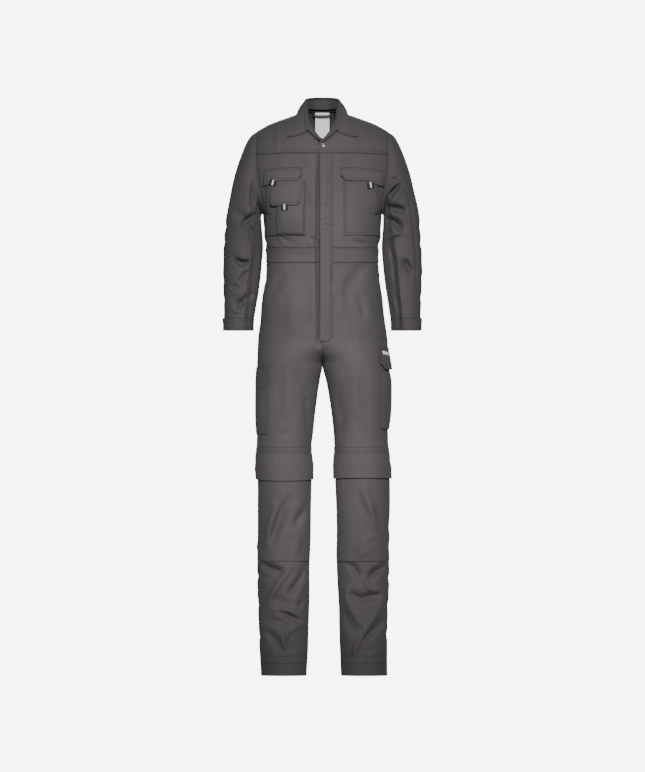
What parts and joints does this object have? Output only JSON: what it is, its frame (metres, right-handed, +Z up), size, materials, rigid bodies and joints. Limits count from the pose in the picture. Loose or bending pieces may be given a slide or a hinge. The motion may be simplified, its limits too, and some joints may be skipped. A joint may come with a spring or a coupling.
{
  "type": "boiler suit",
  "caption": "One-piece work boiler suit in twill, filled out as when worn and open inside, with collar, covered front, patch pockets with flaps, cuffed sleeves and knee pad pockets.",
  "frame": {"origin": "between the shoulders on the middle plane, where the wearer carries the suit", "axes": "+Z up towards the collar, -Y the way the front faces, +X towards the wearer's left"},
  "size_m": [0.5376, 0.2727, 1.563],
  "materials": {
    "twill": "matte twill",
    "label_cloth": "matte woven",
    "pull_tape": "matte woven tape",
    "snap_nickel": "satin",
    "snap_brass": "satin"
  },
  "bodies": {
    "root": {"yoke_right": "twill", "yoke_left": "twill", "front_right": "twill", "front_left": "twill", "sleeve_right": "twill", "sleeve_left": "twill", "cuff_right": "twill", "cuff_left": "twill", "waistband_front_right": "twill", "waistband_front_left": "twill", "leg_front_right": "twill", "leg_front_left": "twill", "leg_back_right": "twill", "leg_back_left": "twill", "knee_patch_right": "twill", "knee_patch_left": "twill", "knee_band_right": "twill", "knee_band_left": "twill", "chest_pocket_right": "twill", "chest_pocket_left": "twill", "chest_flap_right": "twill", "chest_flap_left": "twill", "back": "twill", "waistband_back": "twill", "placket": "twill", "collar_stand": "twill", "collar_leaf": "twill", "phone_pocket": "twill", "phone_flap": "twill", "rule_pocket": "twill", "cargo_pocket": "twill", "cargo_flap": "twill", "hanger_loop": "twill", "tab_chest_right": "pull_tape", "tab_chest_left": "pull_tape", "tab_phone": "pull_tape", "neck_label": "label_cloth", "cargo_label": "label_cloth", "snap_cap": "snap_nickel", "snap_socket": "snap_brass"}
  },
  "joints": []
}
